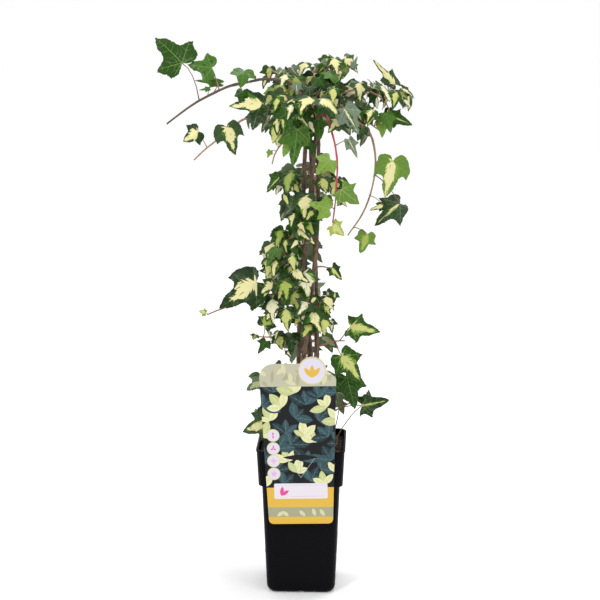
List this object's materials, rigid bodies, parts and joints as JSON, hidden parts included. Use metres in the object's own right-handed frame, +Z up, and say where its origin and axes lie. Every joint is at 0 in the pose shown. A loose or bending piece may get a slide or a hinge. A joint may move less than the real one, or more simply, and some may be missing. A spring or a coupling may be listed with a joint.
{
  "type": "potted variegated ivy",
  "caption": "Climbing variegated ivy on bare woody stems with a loose leafy crown and trailing shoots, in a tall square black plastic nursery pot with a hanging card label",
  "frame": {"origin": "middle of the pot's flat underside, at ground level", "axes": "+Z up along the plant, -Y towards the front with the card, +X to the right seen from the front"},
  "size_m": [0.328, 0.2369, 0.7294],
  "materials": {
    "pot_plastic": "satin black, moulded",
    "peat": "rough dark brown peat",
    "card_board": "printed, satin",
    "stem_bark": "rough brown bark",
    "bough_bark": "smooth brown bark",
    "foliage": "waxy leaves, green with cream centres"
  },
  "bodies": {
    "root": {"pot": "pot_plastic", "soil": "peat", "label_card": "card_board", "stem_front_left": "stem_bark", "stem_front_right": "stem_bark", "stem_back_right": "stem_bark", "stem_back_left": "stem_bark", "bough_left_high": "bough_bark", "bough_left_low": "bough_bark", "bough_front": "bough_bark", "bough_right_low": "bough_bark", "bough_front_right": "bough_bark", "bough_right_high": "bough_bark", "bough_back": "bough_bark", "bough_back_left": "bough_bark", "bough_top": "bough_bark", "spray_left_high": "foliage", "spray_left_low": "foliage", "spray_right": "foliage", "spray_front": "foliage", "spray_left_short": "foliage", "crown_front_right": "foliage", "crown_under_left": "foliage", "crown_front": "foliage", "crown_right": "foliage", "crown_top": "foliage", "crown_back": "foliage", "crown_back_left": "foliage", "crown_front_left": "foliage", "crown_left": "foliage", "crown_back_right": "foliage", "column_left_1": "foliage", "column_right_1": "foliage", "column_back_1": "foliage", "column_left_2": "foliage", "column_left_6": "foliage", "column_back_2": "foliage", "column_left_3": "foliage", "column_right_2": "foliage", "column_back_3": "foliage", "spray_trailing": "foliage", "column_front_1": "foliage", "column_front_3": "foliage", "column_front_4": "foliage", "column_right_3": "foliage", "column_left_4": "foliage", "column_left_7": "foliage", "column_back_4": "foliage", "column_left_5": "foliage", "column_front_2": "foliage", "column_right_4": "foliage", "column_back_5": "foliage", "base_right": "foliage", "base_left": "foliage", "base_back_left": "foliage", "base_back_right": "foliage"}
  },
  "joints": []
}
